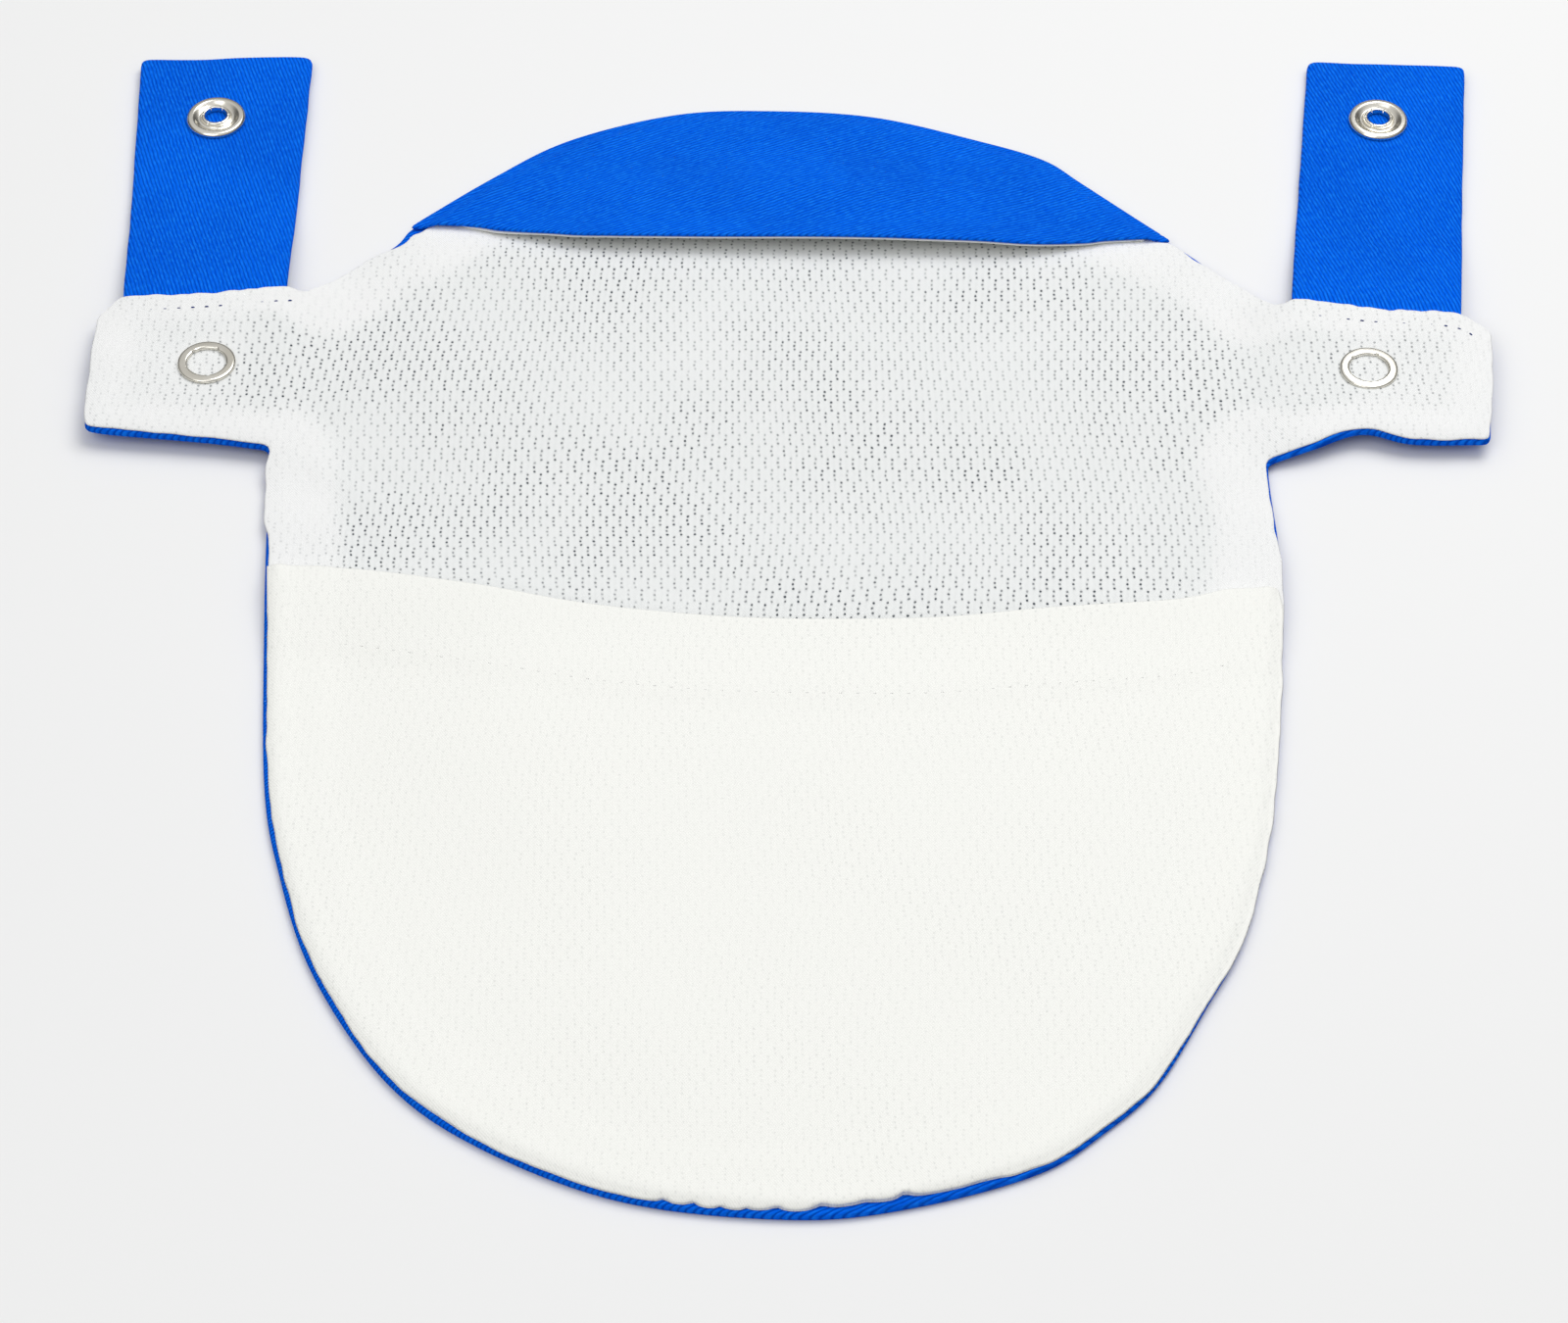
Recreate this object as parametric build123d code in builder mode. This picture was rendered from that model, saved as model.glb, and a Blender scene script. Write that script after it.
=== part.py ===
from build123d import *
import math
import os

# A flat cloth pouch for a groin protector insert: a twill back panel with two side tabs,
# a mesh lining, a mesh pocket, a twill hood, and two folded straps with open-ring snaps.
# The pouch lies on its back. +Z is its front, +Y runs from the pocket to the hood. Millimetres.

# Cloth
shell_thickness = 0.7
lining_thickness = 0.6
pocket_thickness = 0.6
hood_lining_thickness = 0.6
hood_outer_thickness = 0.7
strap_thickness = 1.6
edge_roll = 1.0
seam_allowance = 3.0
lining_top = shell_thickness + lining_thickness

# Cutting lengths: deeper than any piece, and longer than the whole pouch
tall = 40
far = 160

# Snaps
stud_height = 2.4
stud_flange = 0.8
stud_post_radius = 1.8
stud_post_round = 0.3
ring_outer_radius = 4.75
ring_inner_radius = 3.2
ring_thickness = 0.7
ring_round = 0.25
prong_count = 5
prong_radius = 4.0
prong_width = 0.9
prong_gauge = 0.35
prong_reach = 0.45
prong_hole_radius = 0.55
channel_inner_radius = 3.5
channel_outer_radius = 4.6
channel_depth = 0.6
socket_radius = 5.1
socket_bore_radius = 1.87
socket_height = 1.2
socket_flange = 1.05
socket_groove_outer_radius = 3.8
socket_groove_inner_radius = 3.3
socket_groove_outer_floor = 0.75
socket_groove_floor = 0.7
collar_base_radius = 2.6
collar_outer_radius = 2.5
collar_chamfer = 0.2
snap_rim_chamfer = 0.3
slit_count = 6
slit_width = 0.35
slit_length = 1.0
slit_floor = 0.8

# The back panel's edge, from the left tab's root round the bottom to the right tab's root
body_edge = [
    (-86.2, 27.2), (-84.3, -4.5), (-80.4, -47.5), (-74.8, -72.5), (-59.9, -100.0), (-37.7, -115.4),
    (-2.7, -123.8), (33.3, -115.4), (51.1, -100.0), (65.3, -72.5), (71.3, -47.5), (75.6, -4.5), (75.6, 24.5),
]
# The tabs, from each root round the free end to the seam that holds the strap
left_tab_bottom = (-116.0, 30.2)
left_tab_end = (-116.7, 55.6)
left_tab_top = (-113.0, 60.6)
left_tab_shoulder = (-83.1, 63.3)
right_tab_bottom = [(83.5, 26.2), (93.0, 29.2), (111.5, 27.4)]
right_tab_end = (114.1, 53.0)
right_tab_top = (109.9, 56.6)
right_tab_shoulder = (79.1, 60.5)
tab_ramp = 7.0
left_ramp_start = -77.5
right_ramp_start = 73.0
left_tab_floor = 27.0
right_tab_floor = 24.6

# The hood is a segment of a circle, with a slightly hollow free edge
hood_centre = (-3.4, 31.7)
hood_radius = 79.9
hood_left_angle = 142.0
hood_right_angle = 34.4
hood_edge_middle = (-3.0, 73.3)
hood_rise = 5.5

# The pocket is a shallow tray sewn down round the panel's lower edge
pocket_mouth_middle = (-3.0, -13.6)
pocket_centre = (-4.0, -10.0)
pocket_rise = 4.5
pocket_slope = 9.0
pocket_mouth_clearance = 8.0
hem_depth = 16.5

# The straps: the ends of each seam on its tab's top edge, and the corners of the free end.
# The fold line stands off the edge by the cloth that turns in the fold.
left_strap_seam = [(-112.8, 60.6), (-85.7, 63.1)]
right_strap_seam = [(81.7, 60.2), (109.7, 56.6)]
left_strap_end = [(-85.6, 125.0), (-115.9, 124.2)]
right_strap_end = [(117.0, 122.2), (89.2, 123.7)]
fold_gap = 2.9
strap_drop_length = 22.0
strap_rest = ring_thickness + strap_thickness / 2
hinge_height = stud_height + lining_top / 2

# Where the snaps sit
left_tab_snap = (-97.5, 45.7)
right_tab_snap = (93.2, 44.3)
left_strap_snap = (-101.2, 107.7)
right_strap_snap = (100.3, 107.1)

# Thread
thread_width = 0.4
thread_height = 0.25
stitch_length = 1.5
stitch_pitch = 2.3
stitch_width = 0.4
stitch_height = 0.25
topstitch_inset = 2.2
topstitch_share = 0.9
hem_stitch_pitch = 3.0
hem_stitch_span = 116.0

os.makedirs("parts", exist_ok=True)


def on_circle(centre, radius, angle):
    """The point of a circle at an angle in degrees."""
    turn = math.radians(angle)
    return (centre[0] + radius * math.cos(turn), centre[1] + radius * math.sin(turn))


hood_left = on_circle(hood_centre, hood_radius, hood_left_angle)
hood_top = on_circle(hood_centre, hood_radius, 90)
hood_right = on_circle(hood_centre, hood_radius, hood_right_angle)


def moved_in(point, inset):
    """A point of the pocket's edge, moved towards the pocket's centre."""
    away_x = point[0] - pocket_centre[0]
    away_y = point[1] - pocket_centre[1]
    keep = 1 - inset / math.hypot(away_x, away_y)
    return (pocket_centre[0] + away_x * keep, pocket_centre[1] + away_y * keep)


def panel_outline(inset=0.0):
    """The outline that the back panel, its lining and their seam share, taken in by an inset."""
    left_root = (body_edge[0][0] + inset, body_edge[0][1] + inset)
    right_root = (body_edge[-1][0] - inset, body_edge[-1][1] + inset)
    lower_edge = [moved_in(point, inset) for point in body_edge[1:-1]]
    left_tab = [
        (left_tab_shoulder[0], left_tab_shoulder[1] - inset),
        (left_tab_top[0] + inset, left_tab_top[1] - inset),
        (left_tab_end[0] + inset, left_tab_end[1]),
        (left_tab_bottom[0] + inset, left_tab_bottom[1] + inset),
    ]
    right_tab = [(x, y + inset) for x, y in right_tab_bottom[:-1]]
    right_tab += [
        (right_tab_bottom[-1][0] - inset, right_tab_bottom[-1][1] + inset),
        (right_tab_end[0] - inset, right_tab_end[1]), (right_tab_top[0] - inset, right_tab_top[1] - inset),
        (right_tab_shoulder[0], right_tab_shoulder[1] - inset),
    ]
    arc_start = on_circle(hood_centre, hood_radius - inset, hood_right_angle)
    arc_middle = on_circle(hood_centre, hood_radius - inset, 90)
    arc_end = on_circle(hood_centre, hood_radius - inset, hood_left_angle)
    with BuildSketch() as drawn:
        with BuildLine():
            Spline(left_root, *lower_edge, right_root)
            Polyline(right_root, *right_tab, arc_start)
            ThreePointArc(arc_start, arc_middle, arc_end)
            Polyline(arc_end, *left_tab, left_root)
        make_face()
    return drawn.sketch


def tab_areas():
    """The two stretches of cloth that leave the flat: each tab and the ramp at its root."""
    with BuildSketch() as drawn:
        with Locations((left_ramp_start, left_tab_floor)):
            Rectangle(far, far, align=(Align.MAX, Align.MIN))
        with Locations((right_ramp_start, right_tab_floor)):
            Rectangle(far, far, align=(Align.MIN, Align.MIN))
    return drawn.sketch


def layer_section(bottom, thickness):
    """Section of one cloth layer: flat in the middle, and lifted by the studs under both tabs."""
    lift = bottom + stud_height
    under = [
        (-far, lift), (left_ramp_start - tab_ramp, lift), (left_ramp_start, bottom),
        (right_ramp_start, bottom), (right_ramp_start + tab_ramp, lift), (far, lift),
    ]
    over = [(x, z + thickness) for x, z in reversed(under)]
    with BuildSketch() as drawn:
        with BuildLine():
            Polyline(*under, *over, close=True)
        make_face()
    return drawn.sketch


def pocket_outline(inset, mouth_shift):
    """The pocket's outline, taken in at the sewn edge and shifted at its mouth."""
    edge = [moved_in(point, edge_roll + inset) for point in body_edge[1:-1]]
    mouth_left = (edge[0][0], edge[0][1] + mouth_shift)
    mouth_right = (edge[-1][0], edge[-1][1] + mouth_shift)
    mouth_middle = (pocket_mouth_middle[0], pocket_mouth_middle[1] + mouth_shift)
    with BuildSketch() as drawn:
        with BuildLine():
            Spline(*edge)
            if mouth_shift > 0:
                Line(edge[-1], mouth_right)
            ThreePointArc(mouth_right, mouth_middle, mouth_left)
            if mouth_shift > 0:
                Line(mouth_left, edge[0])
        make_face()
    return drawn.sketch


def hood_section(bottom, thickness):
    """Half section of one hood layer: a flat seam at the rim, and a shallow dome inside it."""
    seam_radius = hood_radius - seam_allowance
    edge_radius = hood_edge_middle[1] - hood_centre[1]
    dome_radius = (seam_radius ** 2 - edge_radius ** 2) / (2 * hood_rise)
    crown = dome_radius - math.sqrt(dome_radius ** 2 - seam_radius ** 2)
    with BuildSketch() as drawn:
        with BuildLine():
            TangentArc((0, bottom + crown), (seam_radius, bottom), tangent=(1, 0))
            Line((seam_radius, bottom), (hood_radius, bottom))
            Line((hood_radius, bottom), (hood_radius, bottom + thickness))
            Line((hood_radius, bottom + thickness), (seam_radius, bottom + thickness))
            TangentArc((0, bottom + thickness + crown), (seam_radius, bottom + thickness), tangent=(1, 0))
            Line((0, bottom + thickness + crown), (0, bottom + crown))
        make_face()
    return drawn.sketch


def hood_outline():
    """The hood's outline: the sewn arc and the hollow free edge."""
    with BuildSketch() as drawn:
        with BuildLine():
            ThreePointArc(hood_left, hood_top, hood_right)
            ThreePointArc(hood_right, hood_edge_middle, hood_left)
        make_face()
    return drawn.sketch


def save(builder, name):
    """Label a finished piece and write it to its own file."""
    builder.part.label = name
    export_step(builder.part, "parts/" + name + ".step")


def cloth_layer(outline, bottom, thickness):
    """One layer of cloth with a given outline: flat in the body and lifted in both tabs."""
    with BuildPart() as tabs:
        with BuildSketch():
            add(outline)
            add(tab_areas(), mode=Mode.INTERSECT)
        extrude(amount=tall, both=True)
        with BuildSketch(Plane.XZ):
            add(layer_section(bottom, thickness))
        extrude(amount=far, both=True, mode=Mode.INTERSECT)
    with BuildPart() as layer:
        with BuildSketch(Plane.XY.offset(bottom)):
            add(outline)
            add(tab_areas(), mode=Mode.SUBTRACT)
        extrude(amount=thickness)
        add(tabs.part)
    return layer.part


def seam_outline():
    """The narrow band that the perimeter seam's thread follows."""
    with BuildSketch() as drawn:
        add(panel_outline(seam_allowance))
        add(panel_outline(seam_allowance + thread_width), mode=Mode.SUBTRACT)
    return drawn.sketch


# Back panel: one piece of twill with both tabs, pierced where the snaps' prongs pass
with BuildPart() as outer_shell:
    add(cloth_layer(panel_outline(), 0, shell_thickness))
    with BuildSketch():
        with Locations(left_tab_snap, right_tab_snap):
            with PolarLocations(prong_radius, prong_count):
                Circle(prong_hole_radius)
    extrude(amount=tall, mode=Mode.SUBTRACT)
save(outer_shell, "outer_shell")

# Seam thread: one line of stitching that runs between the panel and the lining
with BuildPart() as perimeter_seam_thread:
    add(cloth_layer(seam_outline(), shell_thickness, thread_height))
save(perimeter_seam_thread, "perimeter_seam_thread")

# Lining: mesh over the whole front, a little short of the panel's rolled edge
with BuildPart() as mesh_lining:
    add(cloth_layer(panel_outline(edge_roll), shell_thickness, lining_thickness))
    add(perimeter_seam_thread.part, mode=Mode.SUBTRACT)
    with BuildSketch():
        with Locations(left_tab_snap, right_tab_snap):
            with PolarLocations(prong_radius, prong_count):
                Circle(prong_hole_radius)
    extrude(amount=tall, mode=Mode.SUBTRACT)
save(mesh_lining, "mesh_lining")

# Pocket: sewn down round the lower edge and open along its mouth
with BuildPart() as pocket_panel:
    with BuildSketch(Plane.XY.offset(lining_top)):
        add(pocket_outline(0, 0))
    extrude(amount=pocket_thickness)
    with BuildSketch(Plane.XY.offset(lining_top)):
        add(pocket_outline(seam_allowance, 0))
    with BuildSketch(Plane.XY.offset(lining_top + pocket_rise + pocket_thickness)):
        add(pocket_outline(seam_allowance + pocket_slope, 0))
    loft()
    with BuildSketch(Plane.XY.offset(lining_top)):
        add(pocket_outline(seam_allowance + pocket_thickness, pocket_mouth_clearance))
    with BuildSketch(Plane.XY.offset(lining_top + pocket_rise)):
        add(pocket_outline(seam_allowance + pocket_thickness + pocket_slope, pocket_mouth_clearance))
    loft(mode=Mode.SUBTRACT)
save(pocket_panel, "pocket_panel")

# Hood: mesh inside, twill outside
with BuildPart() as hood_lining:
    with BuildSketch(Plane(origin=(*hood_centre, 0), x_dir=(1, 0, 0), z_dir=(0, -1, 0))):
        add(hood_section(lining_top, hood_lining_thickness))
    revolve(axis=Axis((*hood_centre, 0), (0, 0, 1)))
    with BuildSketch():
        add(hood_outline())
    extrude(amount=tall, mode=Mode.INTERSECT)
save(hood_lining, "hood_lining")

with BuildPart() as hood_outer:
    with BuildSketch(Plane(origin=(*hood_centre, 0), x_dir=(1, 0, 0), z_dir=(0, -1, 0))):
        add(hood_section(lining_top + hood_lining_thickness, hood_outer_thickness))
    revolve(axis=Axis((*hood_centre, 0), (0, 0, 1)))
    with BuildSketch():
        add(hood_outline())
    extrude(amount=tall, mode=Mode.INTERSECT)
save(hood_outer, "hood_outer")

# Hem stitching across the pocket, below its folded mouth
hem_stitch_count = round(hem_stitch_span / hem_stitch_pitch)
hem_stitch_top = lining_top + pocket_rise + pocket_thickness
hem_stitch_line = pocket_mouth_middle[1] - hem_depth
with BuildPart() as pocket_hem_stitch:
    with BuildSketch(Plane.XY.offset(hem_stitch_top)):
        with Locations((pocket_mouth_middle[0], hem_stitch_line)):
            with GridLocations(hem_stitch_pitch, 1, hem_stitch_count, 1):
                SlotOverall(stitch_length, stitch_width)
    extrude(amount=stitch_height)
save(pocket_hem_stitch, "pocket_hem_stitch")


def tab_topstitch(name, seam):
    """A row of stitches just below the seam that holds a strap."""
    left_end, right_end = seam
    along = Vector(right_end[0] - left_end[0], right_end[1] - left_end[1], 0).normalized()
    middle = ((left_end[0] + right_end[0]) / 2, (left_end[1] + right_end[1]) / 2)
    row = Plane(origin=(*middle, stud_height + lining_top), x_dir=along)
    count = round(math.dist(left_end, right_end) * topstitch_share / stitch_pitch)
    with BuildPart() as stitches:
        with BuildSketch(row):
            with Locations((0, -topstitch_inset)):
                with GridLocations(stitch_pitch, 1, count, 1):
                    SlotOverall(stitch_length, stitch_width)
        extrude(amount=stitch_height)
    save(stitches, name)


tab_topstitch("left_tab_topstitch", left_strap_seam)
tab_topstitch("right_tab_topstitch", right_strap_seam)


def strap(name, seam, free_end, snap):
    """A turned tube of twill, pressed flat, with a rounded end at the line it folds about."""
    along = Vector(seam[1][0] - seam[0][0], seam[1][1] - seam[0][1], 0).normalized()
    outward = Vector(0, 0, 1).cross(along)
    fold = [(x + outward.X * fold_gap, y + outward.Y * fold_gap) for x, y in seam]
    corners = [*fold, *free_end]
    side = Plane(origin=(*fold[0], 0), x_dir=outward, z_dir=along)
    half = strap_thickness / 2
    seam_width = math.dist(*fold)
    drop = [(0, hinge_height), (strap_drop_length, strap_rest), (far, strap_rest)]
    lower = [(run, height - half) for run, height in drop]
    upper = [(run, height + half) for run, height in reversed(drop)]
    with BuildPart() as cloth:
        with BuildSketch():
            with BuildLine():
                Polyline(*corners, close=True)
            make_face()
        extrude(amount=tall)
        with BuildSketch(side):
            with BuildLine():
                Polyline(*lower, *upper, close=True)
            make_face()
        extrude(amount=far, both=True, mode=Mode.INTERSECT)
        with BuildSketch(side):
            with Locations((0, hinge_height)):
                Circle(half)
        extrude(amount=seam_width)
        with BuildSketch():
            with Locations(snap):
                with PolarLocations(prong_radius, prong_count):
                    Circle(prong_hole_radius)
        extrude(amount=tall, mode=Mode.SUBTRACT)
    save(cloth, name)


strap("left_strap", left_strap_seam, left_strap_end, left_strap_snap)
strap("right_strap", right_strap_seam, right_strap_end, right_strap_snap)


def prong_ring(name, place, seat, cloth, faces_up):
    """An open ring whose prongs pass through the cloth and curl inside the facing snap half."""
    outward = 1 if faces_up else -1
    stand = Plane(origin=(*place, seat), x_dir=(1, 0, 0), z_dir=(0, 0, outward))
    with BuildPart() as ring:
        with BuildSketch(stand):
            Circle(ring_outer_radius)
            Circle(ring_inner_radius, mode=Mode.SUBTRACT)
        extrude(amount=ring_thickness)
        fillet(ring.edges().filter_by(GeomType.CIRCLE), ring_round)
        with BuildSketch(stand.offset(ring_thickness / 2)):
            with PolarLocations(prong_radius, prong_count):
                Rectangle(prong_gauge, prong_width)
        extrude(amount=-(ring_thickness / 2 + cloth + prong_reach))
    save(ring, name)


def socket(name, place, seat):
    """The spring half of a snap: a rolled flange, a groove and a slit collar round the bore."""
    stand = Plane(origin=(*place, seat), x_dir=(1, 0, 0), z_dir=(0, -1, 0))
    rim_radius = socket_radius - snap_rim_chamfer
    section = [
        (socket_bore_radius, 0), (channel_inner_radius, 0), (channel_inner_radius, channel_depth),
        (channel_outer_radius, channel_depth), (channel_outer_radius, 0), (rim_radius, 0),
        (socket_radius, snap_rim_chamfer), (socket_radius, socket_flange - snap_rim_chamfer),
        (rim_radius, socket_flange), (socket_groove_outer_radius, socket_flange),
        (socket_groove_inner_radius, socket_groove_outer_floor), (collar_base_radius, socket_groove_floor),
        (collar_outer_radius, socket_height - collar_chamfer),
        (collar_outer_radius - collar_chamfer, socket_height), (socket_bore_radius, socket_height),
    ]
    with BuildPart() as half:
        with BuildSketch(stand):
            with BuildLine():
                Polyline(*section, close=True)
            make_face()
        revolve(axis=Axis((*place, seat), (0, 0, 1)))
        with BuildSketch(Plane.XY.offset(seat + slit_floor)):
            with Locations(place):
                with PolarLocations((socket_bore_radius + collar_outer_radius) / 2, slit_count):
                    Rectangle(slit_length, slit_width)
        extrude(amount=socket_height, mode=Mode.SUBTRACT)
    save(half, name)


def stud(name, place):
    """The post half of a snap, on the back of a tab: a flange with a post that points down."""
    flange_floor = stud_height - stud_flange
    section = [
        (0, 0), (stud_post_radius - stud_post_round, 0), (stud_post_radius, stud_post_round),
        (stud_post_radius, flange_floor), (socket_radius - snap_rim_chamfer, flange_floor),
        (socket_radius, flange_floor + snap_rim_chamfer), (socket_radius, stud_height),
        (channel_outer_radius, stud_height), (channel_outer_radius, stud_height - channel_depth),
        (channel_inner_radius, stud_height - channel_depth), (channel_inner_radius, stud_height),
        (0, stud_height),
    ]
    with BuildPart() as half:
        with BuildSketch(Plane(origin=(*place, 0), x_dir=(1, 0, 0), z_dir=(0, -1, 0))):
            with BuildLine():
                Polyline(*section, close=True)
            make_face()
        revolve(axis=Axis((*place, 0), (0, 0, 1)))
    save(half, name)


tab_snaps = {"left": left_tab_snap, "right": right_tab_snap}
strap_snaps = {"left": left_strap_snap, "right": right_strap_snap}
for side_name, place in tab_snaps.items():
    prong_ring(side_name + "_tab_prong_ring", place, stud_height + lining_top, lining_top, faces_up=True)
    stud(side_name + "_tab_stud", place)
for side_name, place in strap_snaps.items():
    strap_bottom = strap_rest - strap_thickness / 2
    prong_ring(side_name + "_strap_prong_ring", place, strap_bottom, strap_thickness, faces_up=False)
    socket(side_name + "_strap_socket", place, strap_rest + strap_thickness / 2)
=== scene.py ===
import math

import bpy
import numpy as np
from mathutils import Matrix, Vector, noise
from mathutils.geometry import delaunay_2d_cdt


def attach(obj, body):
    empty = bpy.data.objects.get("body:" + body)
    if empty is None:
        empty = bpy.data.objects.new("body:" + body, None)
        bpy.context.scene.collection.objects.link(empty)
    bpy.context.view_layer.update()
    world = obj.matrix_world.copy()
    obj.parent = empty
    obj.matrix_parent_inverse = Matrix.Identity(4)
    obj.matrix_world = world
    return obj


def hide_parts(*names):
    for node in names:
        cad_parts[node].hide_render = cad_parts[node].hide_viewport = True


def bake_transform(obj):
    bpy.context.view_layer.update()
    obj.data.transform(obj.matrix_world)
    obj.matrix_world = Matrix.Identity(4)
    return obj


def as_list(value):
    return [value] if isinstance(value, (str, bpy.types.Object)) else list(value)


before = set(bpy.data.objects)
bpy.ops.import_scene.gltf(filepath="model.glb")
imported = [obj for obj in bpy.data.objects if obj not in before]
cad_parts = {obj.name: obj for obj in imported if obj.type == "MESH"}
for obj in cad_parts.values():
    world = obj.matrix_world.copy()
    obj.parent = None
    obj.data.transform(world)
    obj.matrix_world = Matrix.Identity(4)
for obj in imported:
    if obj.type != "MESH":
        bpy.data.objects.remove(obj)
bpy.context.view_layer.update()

# A cloth pouch for a groin protector insert. It lies on its back: +Z is its front and +Y runs
# from the pocket to the hood. Lengths here are millimetres, and meshes are written in metres.
MM = 0.001
POUCH = "pouch"
STRAP_BODY = {"left": "left_strap_body", "right": "right_strap_body"}

# ---------------------------------------------------------------- camera and light
VIEW_TARGET = (-2.7, -16.8, 0.0)
VIEW_ELEVATION = 48.0
VIEW_DISTANCE = 712.0
LENS = 105.0
SENSOR_WIDTH = 36.0
FLOOR_SIZE = 6.0
FLOOR_TONE = (0.81, 0.812, 0.81)
SKY_STRENGTH = (0.10, 0.74)
SKY_BAND = (0.25, 0.8)
KEY_PLACE, KEY_SIZE, KEY_POWER = (260, 330, 800), 620, 4.3
FILL_PLACE, FILL_SIZE, FILL_POWER = (-350, -480, 760), 640, 1.9
LIGHT_TARGET = (0, 0, 0)


def make_camera():
    """A long lens that looks down on the pouch from its pocket end."""
    tilt = math.radians(VIEW_ELEVATION)
    data = bpy.data.cameras.new("camera")
    data.lens = LENS
    data.sensor_width = SENSOR_WIDTH
    camera = bpy.data.objects.new("camera", data)
    away = Vector((0, -math.cos(tilt), math.sin(tilt))) * VIEW_DISTANCE
    camera.location = (Vector(VIEW_TARGET) + away) * MM
    camera.rotation_euler = (math.pi / 2 - tilt, 0, 0)
    bpy.context.scene.collection.objects.link(camera)
    bpy.context.scene.camera = camera


def area_light(name, place, target, size, power):
    """A square soft box at a place, turned to a target; both in millimetres."""
    data = bpy.data.lights.new(name, "AREA")
    data.size = size * MM
    data.energy = power
    lamp = bpy.data.objects.new(name, data)
    lamp.location = Vector(place) * MM
    lamp.rotation_euler = (Vector(target) - Vector(place)).to_track_quat("-Z", "Y").to_euler()
    bpy.context.scene.collection.objects.link(lamp)


def make_stage():
    """A pale floor, a white sky and two soft boxes."""
    scene = bpy.context.scene
    scene.view_settings.view_transform = "Standard"
    world = bpy.data.worlds.new("sky")
    world.use_nodes = True
    scene.world = world
    nodes, links = world.node_tree.nodes, world.node_tree.links
    split = nodes.new("ShaderNodeSeparateXYZ")
    rise = nodes.new("ShaderNodeMapRange")
    rise.interpolation_type = "SMOOTHSTEP"
    rise.inputs["From Min"].default_value, rise.inputs["From Max"].default_value = SKY_BAND
    rise.inputs["To Min"].default_value, rise.inputs["To Max"].default_value = SKY_STRENGTH
    links.new(nodes.new("ShaderNodeTexCoord").outputs["Generated"], split.inputs[0])
    links.new(split.outputs["Z"], rise.inputs["Value"])
    links.new(rise.outputs["Result"], nodes["Background"].inputs["Strength"])
    nodes["Background"].inputs["Color"].default_value = (1, 1, 1, 1)
    area_light("key", KEY_PLACE, LIGHT_TARGET, KEY_SIZE, KEY_POWER)
    area_light("fill", FILL_PLACE, LIGHT_TARGET, FILL_SIZE, FILL_POWER)
    bpy.ops.mesh.primitive_plane_add(size=FLOOR_SIZE, location=(0, 0, 0))
    floor = bpy.context.object
    floor.name = "floor"
    paint = Paint("floor_paint")
    paint.surface(color=FLOOR_TONE, roughness=0.9)
    floor.data.materials.append(paint.material)


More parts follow.
